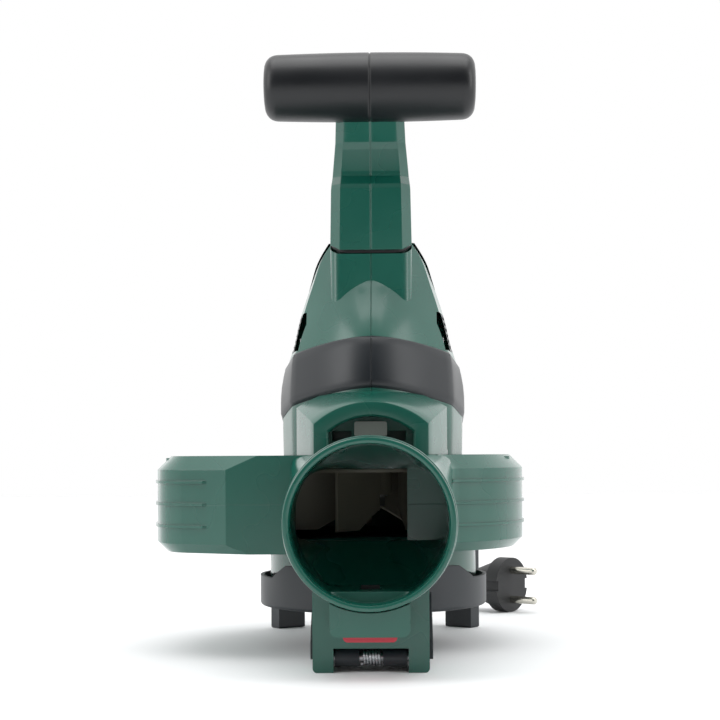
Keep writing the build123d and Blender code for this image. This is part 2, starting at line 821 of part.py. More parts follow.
def cord_route():
    # points of the cord from the boot to the plug, chosen by hand
    tip = (gland_place() * Pos(0, 0, gland_length)).position
    tail = (plug_place() * Pos(-plug_length - 14, 0, 0)).position
    return [
        (tip.X, tip.Y, tip.Z),
        (0.0, 173.0, 80.3),
        (-14.5, 189.4, 60.9),
        (-40.2, 207.8, 43.9),
        (-64.9, 230.4, 31.0),
        (-74.9, 253.3, 21.4),
        (-70.1, 277.6, 12.0),
        (-49.6, 292.9, 5.6),
        (-23.2, 291.3, 4.0),
        (-1.5, 275.7, 5.7),
        (16.9, 245.3, 10.6),
        (tail.X - 20, tail.Y + 16.6, tail.Z),
        (tail.X, tail.Y, tail.Z),
    ]


def power_cord():
    points = [Vector(*p) for p in cord_route()]
    radii = []
    for a, b, c in zip(points, points[1:], points[2:]):
        turn = (b - a).get_angle(c - b)
        run = min((b - a).length, (c - b).length)
        radii.append(0.45 * run / (sin(radians(turn / 2)) / cos(radians(turn / 2))))
    print("cord radii", [round(r, 1) for r in radii])
    path = FilletPolyline(*points, radius=radii)
    section = Plane(path @ 0, z_dir=path % 0) * Circle(cord_radius)
    cord = sweep(section, path)
    share = cord.volume / (3.14159265 * cord_radius ** 2 * path.length)
    print("cord length", round(path.length, 1), "volume share", round(share, 4))
    return cord


def plug_body():
    place = plug_place()
    turned = Rot(0, -90, 0)
    disc = Pos(-4.5, 0, 0) * turned * Cylinder(plug_radius, 9)
    back = Pos(-19.5, 0, 0) * turned * Cone(plug_radius - 1.5, 8.5, 21)
    tail = Pos(-plug_length - 7, 0, 0) * turned * Cone(6.2, 4.4, 14)
    body = disc + back + tail
    notches = [(Pos(-3.5, side * plug_radius, 0) * Box(14, 5.0, 6.4)) for side in (-1, 1)]
    return place * (body - joined(notches))


def plug_pins():
    pins = []
    for side in (-1, 1):
        pin = Pos(pin_length / 2, 0, side * pin_spacing / 2) * Rot(0, 90, 0) * Cylinder(pin_radius, pin_length)
        pins.append(fillet(pin.edges().group_by(Axis.X)[-1], 1.6))
    return plug_place() * joined(pins)


# ---- inlet and guard ----
def under_neck_plane(extra=0.0):
    place = Pos(0, 0, neck_mid_z + extra) * Rot(-neck_slant, 0, 0)
    return place * Pos(0, 0, -60) * Box(300, 300, 120)


def inlet_neck():
    low = neck_mid_z - 20
    height = case_floor_z - low
    place = Pos(0, 0, low + height / 2)
    outer = place * Cone(neck_low_radius, neck_high_radius, height)
    inner = place * Cone(neck_low_radius - neck_wall, neck_high_radius - neck_wall, height + tiny)
    return outer - inner - under_neck_plane()


def guard_ring():
    inner = guard_radius - guard_wall
    ring = ring_z(guard_radius, inner, guard_low_z, guard_front_z)
    top = [(-70, guard_front_z + 1), (-70, guard_front_z), (-42, guard_front_z), (-31, guard_top_z), (70, guard_top_z)]
    top += [(70, guard_front_z + 1)]
    ring -= side_plate(top, 0, 100)
    rim = [e for e in ring.edges().group_by(Axis.Z)[0] if e.radius > inner + 1]
    return fillet(rim, guard_wall - 0.2)


def guard_grille():
    low, high = guard_low_z, guard_low_z + grille_thickness
    reach = guard_radius - guard_wall
    bars = [ring_z(r, r - 2.2, low, high) for r in (12.0, 24.0, 36.0, 48.0, reach)]
    spokes = [Rot(0, 0, 30 * k) * block(10.5, reach - 1.0, -1.1, 1.1, low, high) for k in range(12)]
    return joined(bars + spokes)


def guard_arm():
    outer = [
        (-88, 3.0), (-79, 3.0), (-54, guard_low_z), (-54, 33), (-66, 33), (-84, 17), (-88, 12),
    ]
    plate = side_plate(outer, [1, 3, 0.5, 0.5, 4, 3, 2], 30)
    barrels = both_sides(rod_x(hinge_barrel_radius, 5.6, 17.2, guard_hinge_y, guard_hinge_z))
    fork = both_sides(block(5.6, 17.2, guard_hinge_y, -86, 3.0, 10.4))
    arm = plate + fork + barrels
    arm -= rod_z(guard_radius, guard_low_z - 0.01, 60)
    return arm - rod_x(hinge_pin_radius + running_gap, -40, 40, guard_hinge_y, guard_hinge_z)


def guard_spring():
    return coil_x(spring_coil_radius, spring_wire_radius, -4.9, 4.9, spring_coils, guard_hinge_y, guard_hinge_z)


def hinge_pin():
    return rod_x(hinge_pin_radius, -leg_half_width + 2, leg_half_width - 2, guard_hinge_y, guard_hinge_z)


# ---- legs and feet ----
def front_legs():
    rear = leg_front_y + leg_depth
    body = block(-leg_half_width, leg_half_width, leg_front_y, rear, 0, 52)
    outer_edges = [e for e in body.edges().filter_by(Axis.Y) if e.center().Z < 1]
    body = fillet(outer_edges, 2.2)
    slot = leg_half_width - leg_thickness
    body -= block(-slot, slot, leg_front_y - 1, rear + 1, -1, bridge_low_z)
    pocket = block(-slot, slot, leg_front_y + skin, rear + 1, bridge_low_z + skin, 60)
    shape = body - (pocket & block(-60, 60, -200, rear - skin, 0, 60))
    shape -= outlet_outer()
    shape -= rod_x(hinge_pin_radius, -leg_half_width + 2, leg_half_width - 2, guard_hinge_y, guard_hinge_z)
    return shape.solids().sort_by(SortBy.VOLUME)[-1]


def wedge(first, last, low, high):
    far = 200
    points = [(0, 0)]
    steps = 3
    for k in range(steps + 1):
        a = radians(first + (last - first) * k / steps)
        points.append((far * cos(a), far * sin(a)))
    return extrude(Pos(0, 0, low) * make_face(Polyline(*points, close=True)), high - low)


def rear_feet():
    ring = ring_z(foot_outer_radius, foot_inner_radius, 0, 66)
    foot = ring & wedge(foot_first_angle, foot_last_angle, 0, 66)
    foot = fillet(foot.edges().group_by(Axis.Z)[0], 1.0)
    frame = ring & wedge(foot_first_angle, 180 - foot_first_angle, 44, 66)
    whole = foot + mirror(foot, about=Plane.YZ) + frame
    cut = case_body(0, case_floor_z, case_top_z, case_top_chamfer, case_low_chamfer)
    return whole - cut


# ---- tube latch ----
def latch_housing():
    front, rear = latch_front_y, latch_rear_y
    body = block(-latch_half_width, latch_half_width, front, rear, latch_low_z, 52)
    low_edges = [e for e in body.edges().filter_by(Axis.Y) if e.center().Z < latch_low_z + 1]
    body = fillet(low_edges, 3.4)
    body -= block(-13.2, 13.2, front + 1.8, rear - 1.2, latch_low_z - 1, 32.2)
    body -= block(-5.9, 5.9, -123, rear - 1.2, 30, 52)
    body -= outlet_outer() + rod_y(outlet_outer_radius, outlet_rim_y - 1, outlet_round_y, 0, outlet_axis_z)
    return body - rod_x(1.5, -15.5, 15.5, latch_pivot_y, latch_pivot_z)


def release_button():
    low = latch_low_z - 2.6
    body = block(-button_half_width, button_half_width, -139.2, -131.4, low, 25)
    corners = [e for e in body.edges().filter_by(Axis.Y) if e.center().Z < low + 1]
    return fillet(corners, 2.2)


def latch_lever():
    arm = block(-5, 5, -131.4, -117.8, 23.6, 28)
    arm += rod_x(3.6, -5, 5, latch_pivot_y, latch_pivot_z)
    hook = side_plate([(-121.2, 25), (-117.8, 25), (-117.8, 41.2), (-119.2, 42.3), (-121.2, 42.3)], 0, 4.4)
    return arm + hook - rod_x(1.5 + running_gap, -20, 20, latch_pivot_y, latch_pivot_z)


def latch_pin():
    return rod_x(1.5, -15.5, 15.5, latch_pivot_y, latch_pivot_z)


def latch_spring():
    return coil_z(2.6, 0.35, 25.1, 31.3, 4, 0, -136)


# ---- all nodes ----
def machine():
    case_upper, case_lower = fan_case()
    housing_left, housing_right = halves(motor_housing())
    band_left, band_right = halves(dark_band())
    hood_left, hood_right = halves(hood())
    stem_left, stem_right = halves(stem_shell())
    grip_left, grip_right = grip_halves()
    handle_left, handle_right = halves(rear_handle())
    return {
        "fan_case_upper": [case_upper],
        "fan_case_lower": [case_lower],
        "outlet_tube": [outlet_tube() + alignment_ridges()],
        "motor_housing_left": [housing_left],
        "motor_housing_right": [housing_right],
        "side_louvres": [side_louvres()],
        "band_left": [band_left],
        "band_right": [band_right],
        "hood_left": [hood_left],
        "hood_right": [hood_right],
        "outlet_catch": [catch_block()],
        "bearing_plate": [bearing_plate()],
        "bearings": [bearing(plate_top_z), bearing(upper_bearing_z)],
        "upper_bracket": [upper_bracket()],
        "stator_core": [stator_core()],
        "stator_coils": [stator_coils()],
        "brush_holders": [brush_holders()],
        "carbon_brushes": [carbon_brushes()],
        "motor_shaft": [motor_shaft()],
        "armature_core": [armature_core()],
        "armature_windings": [armature_windings()],
        "commutator": [commutator()],
        "cooling_fan": [cooling_fan()],
        "impeller": [impeller()],
        "impeller_nut": [impeller_nut()],
        "stem_left": [stem_left],
        "stem_right": [stem_right],
        "tilt_tongue": [tilt_tongue()],
        "drum_liner": [drum_liner()],
        "pivot_bolt": [pivot_bolt()],
        "friction_washers": [friction_washers()],
        "grip_left": [grip_left],
        "grip_right": [grip_right],
        "grip_core": [grip_core()],
        "handle_left": [handle_left],
        "handle_right": [handle_right],
        "trigger": [trigger()],
        "trigger_spring": [trigger_spring()],
        "lock_button": [lock_button()],
        "lock_spring": [lock_spring()],
        "switch_module": [switch_module()],
        "speed_board": [speed_board()],
        "speed_dial": [speed_dial()],
        "strap_eye": [strap_eye()],
        "cable_gland": [cable_gland()],
        "power_cord": [power_cord()],
        "plug_body": [plug_body()],
        "plug_pins": [plug_pins()],
        "inlet_neck": [inlet_neck()],
        "inlet_guard": [guard_ring() + guard_arm()],
        "guard_grille": [guard_grille()],
        "guard_spring": [guard_spring()],
        "front_legs": [front_legs()],
        "rear_feet": [rear_feet()],
        "latch_housing": [latch_housing()],
        "release_button": [release_button()],
        "latch_lever": [latch_lever()],
        "latch_spring": [latch_spring()],
        "steel_pins": [hinge_pin(), latch_pin(), trigger_pin(), dial_pin()],
        "screws": [case_screws(), handle_screws()],
    }


on_cord = ("power_cord", "plug_body", "plug_pins")


def write_all():
    nodes = {name: [s for piece in pieces for s in piece.solids()] for name, pieces in machine().items()}
    boxes = [s.bounding_box() for name, solids in nodes.items() if name not in on_cord for s in solids]
    x = (min(b.min.X for b in boxes) + max(b.max.X for b in boxes)) / 2
    y = (min(b.min.Y for b in boxes) + max(b.max.Y for b in boxes)) / 2
    print("fan axis at", round(-x, 3), round(-y, 3))
    for name, solids in nodes.items():
        moved = [Pos(-x, -y, 0) * solid for solid in solids]
        export_step(moved[0] if len(moved) == 1 else Compound(children=moved), f"parts/{name}.step")


if __name__ == "__main__":
    write_all()
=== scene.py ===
import json
import math
import bmesh
import bpy
import numpy as np
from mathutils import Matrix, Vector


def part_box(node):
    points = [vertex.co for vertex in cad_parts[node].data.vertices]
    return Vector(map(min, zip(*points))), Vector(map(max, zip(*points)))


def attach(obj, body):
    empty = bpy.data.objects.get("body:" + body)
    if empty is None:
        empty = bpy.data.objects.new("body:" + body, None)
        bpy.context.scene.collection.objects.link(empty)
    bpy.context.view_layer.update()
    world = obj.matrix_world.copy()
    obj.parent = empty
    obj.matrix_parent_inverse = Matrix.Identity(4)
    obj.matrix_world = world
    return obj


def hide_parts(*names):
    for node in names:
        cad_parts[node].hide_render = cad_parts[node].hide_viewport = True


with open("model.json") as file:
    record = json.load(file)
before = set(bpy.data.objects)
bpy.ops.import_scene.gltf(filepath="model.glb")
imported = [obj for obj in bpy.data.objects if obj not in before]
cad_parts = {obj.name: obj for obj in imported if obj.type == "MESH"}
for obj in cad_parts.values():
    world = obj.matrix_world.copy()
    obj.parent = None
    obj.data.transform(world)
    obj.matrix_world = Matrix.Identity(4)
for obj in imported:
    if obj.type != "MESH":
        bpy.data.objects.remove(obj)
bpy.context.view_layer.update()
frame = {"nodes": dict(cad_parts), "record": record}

nodes = frame["nodes"]
shaftLow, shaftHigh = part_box("motor_shaft")
fanAxis = np.array([(shaftLow[0] + shaftHigh[0]) / 2, (shaftLow[1] + shaftHigh[1]) / 2, 0.0])  # metres


def inRow(points):  # millimetres from the fan axis and the floor, to metres in the shared frame
    return np.asarray(points, dtype=float) / 1000 + fanAxis


# camera: millimetres from the fan axis and the floor, degrees
view = {"lens": 74.25, "place": (9.4, -814.0, 103.0), "turn": 1.15, "lean": 0.34, "rise": 0.132}

cameraData = bpy.data.cameras.new("studioCamera")
cameraData.lens = view["lens"]
cameraData.sensor_width = 36
cameraData.shift_y = view["rise"]
cameraData.clip_end = 60
camera = bpy.data.objects.new("studioCamera", cameraData)
camera.location = inRow(view["place"])
camera.rotation_euler = (math.radians(90), math.radians(view["lean"]), math.radians(view["turn"]))
bpy.context.scene.collection.objects.link(camera)
bpy.context.scene.camera = camera
bpy.context.scene.view_settings.view_transform = "Standard"
print("camera set")


def linear(hexColour):  # sRGB hex to linear light
    value = [int(hexColour[i:i + 2], 16) / 255 for i in (1, 3, 5)]
    return tuple(c / 12.92 if c <= 0.04045 else ((c + 0.055) / 1.055) ** 2.4 for c in value) + (1.0,)


def addNode(tree, kind, links=(), **settings):  # links are (input name, output socket) pairs
    node = tree.nodes.new(kind)
    for name, value in settings.items():
        if name in node.inputs:
            node.inputs[name].default_value = value
        else:
            setattr(node, name, value)
    for name, socket in links:
        tree.links.new(socket, node.inputs[name])
    return node


def mouldedFinish(name, colour, worn, roughness, grainSize, grainDepth, coat=0.0, metallic=0.0):
    # a moulded or rolled surface: fine grain as bump, slow clouding of the gloss, slightly rubbed high spots
    material = bpy.data.materials.new(name)
    material.use_nodes = True
    tree = material.node_tree
    tree.nodes.clear()
    place = addNode(tree, "ShaderNodeTexCoord").outputs["Object"]
    grain = addNode(tree, "ShaderNodeTexNoise", [("Vector", place)],
                    Scale=1000 / grainSize, Detail=3.0, Roughness=0.6)
    cloud = addNode(tree, "ShaderNodeTexNoise", [("Vector", place)],
                    Scale=1000 / 38, Detail=2.0, Roughness=0.55)  # patches about 38 mm across
    edge = addNode(tree, "ShaderNodeBevel", Radius=0.0006)  # the small radius every moulded edge has
    edge.samples = 4
    bump = addNode(tree, "ShaderNodeBump",
                   [("Height", grain.outputs["Fac"]), ("Normal", edge.outputs["Normal"])],
                   Strength=0.35, Distance=grainDepth / 1000)
    gloss = addNode(tree, "ShaderNodeMapRange", [("Value", cloud.outputs["Fac"])])
    gloss.inputs["From Min"].default_value, gloss.inputs["From Max"].default_value = 0.3, 0.7
    gloss.inputs["To Min"].default_value = roughness - 0.05
    gloss.inputs["To Max"].default_value = roughness + 0.06
    tone = addNode(tree, "ShaderNodeMix", [("Factor", cloud.outputs["Fac"])], data_type="RGBA")
    tone.inputs[6].default_value, tone.inputs[7].default_value = linear(colour), linear(worn)
    shader = addNode(tree, "ShaderNodeBsdfPrincipled", [
        ("Base Color", tone.outputs[2]), ("Roughness", gloss.outputs["Result"]),
        ("Normal", bump.outputs["Normal"])])
    shader.inputs["Metallic"].default_value = metallic
    shader.inputs["Coat Weight"].default_value = coat
    shader.inputs["Coat Roughness"].default_value = 0.16
    addNode(tree, "ShaderNodeOutputMaterial", [("Surface", shader.outputs["BSDF"])])
    return material


finishes = {  # colour, rubbed colour, roughness, grain size mm, grain depth mm, then coat and metallic
    "green_shell": ("satinMouldedABS", "#0c5144", "#10594b", 0.27, 0.5, 0.015, 0.4),
    "dark_shell": ("grainedPolyamide", "#14191e", "#1a2025", 0.34, 0.45, 0.04),
    "soft_grip": ("mattTPERubber", "#0c0e11", "#111418", 0.36, 0.6, 0.05),
    "grey_plastic": ("grainedPolypropylene", "#1c2126", "#23292e", 0.42, 0.5, 0.04),
    "mid_grey_plastic": ("satinAcetal", "#6b6e69", "#747772", 0.42, 0.5, 0.02),
    "black_plastic": ("blackGlassFilledPolyamide", "#0d0e10", "#15171a", 0.5, 0.5, 0.03),
    "red_plastic": ("redMouldedABS", "#b41228", "#c0253a", 0.36, 0.5, 0.02, 0.2),
    "impeller_plastic": ("mouldedPolyamideImpeller", "#6d6a5c", "#7a7768", 0.5, 0.6, 0.04),
    "bright_steel": ("drawnSteel", "#b5b8bc", "#c4c7ca", 0.30, 0.4, 0.01, 0.0, 1.0),
    "zinc_steel": ("zincPlatedSteel", "#a9acae", "#b8bbbc", 0.36, 0.5, 0.01, 0.0, 1.0),
    "lamination_steel": ("stampedSteel", "#55575b", "#63656a", 0.48, 0.5, 0.03, 0.0, 1.0),
    "aluminium": ("castAluminium", "#b9babb", "#c5c6c7", 0.45, 0.8, 0.06, 0.0, 1.0),
    "copper_wire": ("enamelledCopper", "#a04c24", "#b15c30", 0.35, 0.7, 0.10, 0.3, 1.0),
    "commutator_copper": ("turnedCopper", "#c07a50", "#cd8b62", 0.30, 0.4, 0.01, 0.0, 1.0),
    "carbon": ("pressedCarbon", "#17171a", "#1f1f22", 0.6, 0.5, 0.03),
    "circuit_board": ("lacqueredLaminate", "#0d4a28", "#125530", 0.35, 0.8, 0.02, 0.3),
    "cord_rubber": ("blackRubber", "#121315", "#191b1d", 0.55, 0.5, 0.03),
    "nickel_pins": ("nickelPlatedBrass", "#c6c3b8", "#d2cfc5", 0.22, 0.5, 0.004, 0.0, 1.0),
}
materials = {slot: mouldedFinish(*settings) for slot, settings in finishes.items()}
slotOfNode = {part["node"]: part["material_slot"] for part in frame["record"]["subparts"]}
for name, node in nodes.items():
    if node.material_slots:
        for place in node.material_slots:
            place.material = materials[slotOfNode[name]]
    else:
        node.data.materials.append(materials[slotOfNode[name]])
print("materials made:", len(materials))


def facedOutwards(mesh, merge=0.0):
    work = bmesh.new()
    work.from_mesh(mesh)
    if merge:
        bmesh.ops.remove_doubles(work, verts=work.verts, dist=merge)
    bmesh.ops.recalc_face_normals(work, faces=work.faces)
    work.to_mesh(mesh)
    work.free()


def buildMesh(name, vertices, faces, slot, body, sharpAngle=32):
    mesh = bpy.data.meshes.new(name)
    mesh.from_pydata(inRow(vertices).tolist(), [], faces)
    facedOutwards(mesh, 1e-6)
    mesh.polygons.foreach_set("use_smooth", np.ones(len(mesh.polygons), dtype=bool))
    mesh.set_sharp_from_angle(angle=math.radians(sharpAngle))
    mesh.update()
    piece = bpy.data.objects.new(name, mesh)
    bpy.context.scene.collection.objects.link(piece)
    mesh.materials.append(materials[slot])
    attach(piece, body)
    return piece


def skinFaces(rows, columns, closeRows, caps):
    index = np.arange(rows * columns).reshape(rows, columns)
    nextColumn = np.roll(index, -1, axis=1)
    if closeRows:
        low, high = index, np.roll(index, -1, axis=0)
        lowNext, highNext = nextColumn, np.roll(nextColumn, -1, axis=0)
    else:
        low, high = index[:-1], index[1:]
        lowNext, highNext = nextColumn[:-1], nextColumn[1:]
    quads = np.stack([low, lowNext, highNext, high], axis=-1).reshape(-1, 4)
    faces = quads.tolist()
    if caps and not closeRows:
        faces += [index[0][::-1].tolist(), index[-1].tolist()]
    return faces


def skin(name, loops, slot, body, closeRows=False, caps=True, sharpAngle=32):
    # a surface through closed loops, each an array of the same number of points
    loops = np.asarray(loops, dtype=float)
    rows, columns = loops.shape[:2]
    faces = skinFaces(rows, columns, closeRows, caps)
    return buildMesh(name, loops.reshape(-1, 3), faces, slot, body, sharpAngle)


def bevelled(piece, width, segments=3, angle=28):
    bevel = piece.modifiers.new("softEdges", "BEVEL")
    bevel.width, bevel.segments = width / 1000, segments
    bevel.limit_method, bevel.angle_limit = "ANGLE", math.radians(angle)
    bevel.harden_normals = False
    return piece


# mains cord
cordRoute = {  # millimetres from the fan axis and the floor
    "points": [
        (0.0, 162.85, 92.8), (0.0, 173.0, 80.3), (-14.5, 189.4, 60.9), (-40.2, 207.8, 43.9),
        (-64.9, 230.4, 31.0), (-74.9, 253.3, 21.4), (-70.1, 277.6, 12.0), (-49.6, 292.9, 5.6),
        (-23.2, 291.3, 4.0), (-1.5, 275.7, 5.7), (16.9, 245.3, 10.6), (34.65, 202.2, 17.75),
        (54.65, 185.6, 17.75)],
    "thickness": 7.4,
}
points = inRow(cordRoute["points"])
line = bpy.data.curves.new("powerCord", "CURVE")
line.dimensions = "3D"
spline = line.splines.new("NURBS")
spline.points.add(len(points) - 1)
for control, point in zip(spline.points, points):
    control.co = (*point, 1.0)
spline.order_u = 3
spline.use_endpoint_u = True
spline.resolution_u = 12
line.bevel_depth = cordRoute["thickness"] / 2000
line.bevel_resolution = 6
line.use_fill_caps = True
line.materials.append(materials["cord_rubber"])
powerCord = bpy.data.objects.new("powerCord", line)
bpy.context.scene.collection.objects.link(powerCord)
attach(powerCord, "housing")
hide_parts("power_cord")
print("cord laid")


def curveThrough(known, values, at):
    # cubic line through rows of values, with its slopes taken between neighbours
    known, values = np.asarray(known, float), np.asarray(values, float)
    slope = np.gradient(values, known, axis=0)
    i = np.clip(np.searchsorted(known, at) - 1, 0, len(known) - 2)
    gap = known[i + 1] - known[i]
    t = np.clip((at - known[i]) / gap, 0, 1)[..., None]
    gap = gap[..., None]
    return ((2 * t**3 - 3 * t**2 + 1) * values[i] + (t**3 - 2 * t**2 + t) * gap * slope[i]
            + (3 * t**2 - 2 * t**3) * values[i + 1] + (t**3 - t**2) * gap * slope[i + 1])


sectionShape = {"edge": 16, "power": 1.64, "facet": 24.0, "rearCorner": 24.0}


def bellPoints(rows, z):
    # one level round the bell: a wedge-like curved front, a slim flat facet beside it,
    # straight sides and a rounded rear
    rows = np.asarray(rows, float)
    half, face, front, corner, rear = np.moveaxis(curveThrough(rows[:, 0], rows[:, 1:], z), -1, 0)
    n = sectionShape["edge"]
    t = np.concatenate([[0.0, 0.008, 0.016], np.linspace(0.06, 1, n)])
    s = np.linspace(0, 1, 9)[1:]
    turn = np.radians(np.linspace(0, 90, 20))
    r = sectionShape["rearCorner"]
    counts = [len(t), len(s), 8, 20, 10]
    starts = np.cumsum([0] + counts)
    x, y = np.empty(z.shape), np.empty(z.shape)

    def put(k, xs, ys):
        x[:, starts[k]:starts[k + 1]], y[:, starts[k]:starts[k + 1]] = xs, ys

    def part(k, value):
        return value[:, starts[k]:starts[k + 1]]

    depth = part(0, corner) - part(0, front)
    put(0, part(0, face) * t, part(0, front) + depth * t ** sectionShape["power"])
    width = part(1, half) - part(1, face)
    put(1, part(1, face) + width * s ** 0.9, part(1, corner) + sectionShape["facet"] * s)
    run = np.linspace(0, 1, 10)[1:-1]
    low = part(2, corner) + sectionShape["facet"]
    put(2, part(2, half), low + (part(2, rear) - r - low) * run)
    put(3, part(3, half) - r + r * np.cos(turn), part(3, rear) - r + r * np.sin(turn))
    put(4, (part(4, half) - r) * np.linspace(0.9, 0, 10), part(4, rear))
    right = starts[5]
    x[:, right:] = -x[:, right - 2:0:-1]
    y[:, right:] = y[:, right - 2:0:-1]
    return np.stack([x, y, z], axis=-1)


pointsRound = 2 * (16 + 3 + 8 + 8 + 20 + 10) - 2
bell = {  # height, half width, half width of the front face, front, depth of the face's edge, rear
    "rows": [
        (103.0, 49.2, 42.0, -49.2, -18.0, 49.4), (124.0, 49.5, 42.5, -49.8, -17.0, 49.6),
        (140.0, 49.0, 42.0, -49.3, -16.5, 49.0), (151.7, 46.8, 41.5, -47.2, -15.5, 48.1),
        (165.0, 43.0, 39.8, -43.0, -14.0, 46.5), (174.0, 41.1, 37.9, -38.6, -12.6, 45.1),
        (188.0, 37.3, 34.1, -29.6, -9.0, 42.1), (194.0, 35.4, 32.2, -25.6, -7.5, 40.5),
        (200.0, 33.5, 30.4, -22.6, -6.0, 38.4), (209.4, 30.2, 27.2, -18.4, -4.0, 34.6),
        (215.5, 26.6, 23.8, -15.6, -3.0, 31.6), (219.6, 23.6, 20.9, -12.8, -2.0, 28.8)],
    "bandFront": -44.4, "bandLow": 136.2, "bandHigh": 165.4, "bandTilt": 14.0,
}


def slantedLevel(frontHeight):  # the height of a slanted cut at every point round the bell
    z = np.full((1, pointsRound), frontHeight)
    for step in range(6):
        y = bellPoints(bell["rows"], z)[..., 1]
        z = frontHeight - math.tan(math.radians(bell["bandTilt"])) * (y - bell["bandFront"])
    return z[0]


def pushed(loops, distance):  # moved outwards in the level plane, along the loop's own normals
    ahead, behind = np.roll(loops, -1, axis=1), np.roll(loops, 1, axis=1)
    along = (ahead - behind)[..., :2]
    out = np.stack([along[..., 1], -along[..., 0]], axis=-1)
    out /= np.linalg.norm(out, axis=-1, keepdims=True) + 1e-9
    moved = loops.copy()
    moved[..., :2] += out * np.asarray(distance)[..., None]
    return moved


def seamed(loops, depth=0.45):  # the parting line of the two shells, front and rear
    loops = loops.copy()
    loops[:, 0, 1] += depth
    loops[:, loops.shape[1] // 2, 1] -= depth
    return loops


def cutBy(piece, boxes, operation="DIFFERENCE"):
    # openings cut by plain blocks, each (low corner, high corner) in millimetres
    vertices, faces = [], []
    for low, high in boxes:
        corner = np.array([[x, y, z] for x in (low[0], high[0])
                           for y in (low[1], high[1]) for z in (low[2], high[2])])
        first = len(vertices)
        vertices += corner.tolist()
        quads = [(0, 1, 3, 2), (4, 6, 7, 5), (0, 4, 5, 1), (2, 3, 7, 6), (0, 2, 6, 4), (1, 5, 7, 3)]
        faces += [tuple(first + i for i in quad) for quad in quads]
    mesh = bpy.data.meshes.new("cutter")
    mesh.from_pydata(inRow(vertices).tolist(), [], faces)
    facedOutwards(mesh)
    cutter = bpy.data.objects.new("cutter", mesh)
    bpy.context.scene.collection.objects.link(cutter)
    cut = piece.modifiers.new("openings", "BOOLEAN")
    cut.operation, cut.solver, cut.object = operation, "EXACT", cutter
    bpy.context.view_layer.update()
    shaped = bpy.data.meshes.new_from_object(piece.evaluated_get(bpy.context.evaluated_depsgraph_get()))
    piece.modifiers.clear()
    piece.data = shaped
    bpy.data.objects.remove(cutter)
    shaped.polygons.foreach_set("use_smooth", np.ones(len(shaped.polygons), dtype=bool))
    shaped.set_sharp_from_angle(angle=math.radians(32))
    return piece


def walled(piece, thickness):
    wall = piece.modifiers.new("wall", "SOLIDIFY")
    wall.thickness, wall.offset = thickness / 1000, -1
    return piece


grip = {"half": 55.15, "radius": 17.85, "y": -34.0, "z": 296.0, "crease": 0.5}


def gripSurface():
    # radius along the bar: it narrows a little to rounded shoulders and a flat end, with a fine
    # ring crease in the middle
    t = np.concatenate([np.linspace(0, 0.012, 4), np.linspace(0.03, 0.86, 26), np.linspace(0.875, 1, 22)])
    x = grip["half"] * t
    shoulder = np.clip((t - 0.86) / 0.14, 0, 1)
    radius = grip["radius"] - 1.1 * t**2 - (grip["radius"] - 1.1) * 0.42 * (1 - np.sqrt(1 - shoulder**2.6))
    radius = radius - grip["crease"] * np.exp(-((x / 0.35) ** 2))
    radius = np.concatenate([radius, radius[-1] * np.array([0.93, 0.6, 0.25, 0.03])])
    x = np.concatenate([x, x[-1] + np.array([-0.02, 0.0, 0.0, 0.0])])
    x, radius = np.concatenate([-x[:0:-1], x]), np.concatenate([radius[:0:-1], radius])
    turn = np.linspace(0, 2 * np.pi, 97)[:-1]
    y = grip["y"] + radius[:, None] * np.cos(turn)
    z = grip["z"] + radius[:, None] * np.sin(turn)
    return np.stack([np.broadcast_to(x[:, None], y.shape), y, z], axis=-1)


tGrip = skin("tGrip", gripSurface(), "soft_grip", "stem", sharpAngle=50)
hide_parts("grip_left", "grip_right")
print("grip made")

stem = {  # height, half width, front, rear, corner cut
    "rows": [
        (206.0, 21.8, -25.1, 18.4, 5.0), (244.4, 21.2, -26.9, 12.7, 5.0), (247.0, 21.0, -26.2, 11.2, 4.9),
        (252.0, 20.5, -21.4, 8.1, 4.7), (254.5, 20.3, -21.0, 6.6, 4.6), (266.0, 19.2, -22.8, -0.6, 4.4),
        (269.5, 18.8, -24.5, -2.8, 4.4), (289.5, 17.5, -43.0, -14.0, 4.4), (307.3, 16.9, -42.5, -23.5, 4.0)],
    "drum": 38.95, "pivot": (-2.2, 180.6), "seam": 0.5,
}


def stemLoops():
    # eight-sided levels with straight runs between the folds; the foot follows the drum
    levels = []
    for z, half, front, rear, cut in stem["rows"]:
        ring = [(0, front), (0.35, front), (half - cut, front), (half, front + cut), (half, rear - cut),
                (half - cut, rear), (0.35, rear), (0, rear)]
        ring = np.array(ring)
        steps = [1, 6, 3, 22, 3, 6, 1]
        runs = [np.linspace(a, b, n, endpoint=False) for a, b, n in zip(ring, ring[1:], steps)]
        right = np.concatenate(runs)
        right = np.concatenate([right, ring[-1:]])
        left = right[1:-1][::-1] * (-1, 1)
        loop = np.concatenate([right, left])
        levels.append(np.column_stack([loop, np.full(len(loop), z)]))
    loops = np.array(levels)
    y = loops[0, :, 1] - stem["pivot"][0]
    loops[0, :, 2] = stem["pivot"][1] + np.sqrt(np.maximum(stem["drum"] ** 2 - y**2, 0))
    return seamed(loops, stem["seam"])


stemCover = bevelled(skin("stemCover", stemLoops(), "green_shell", "stem", sharpAngle=20), 0.7, 3, 14)
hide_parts("stem_left", "stem_right")
print("stem made")

band = {"overlap": 0.3, "seam": 0.5, "wall": 1.5}


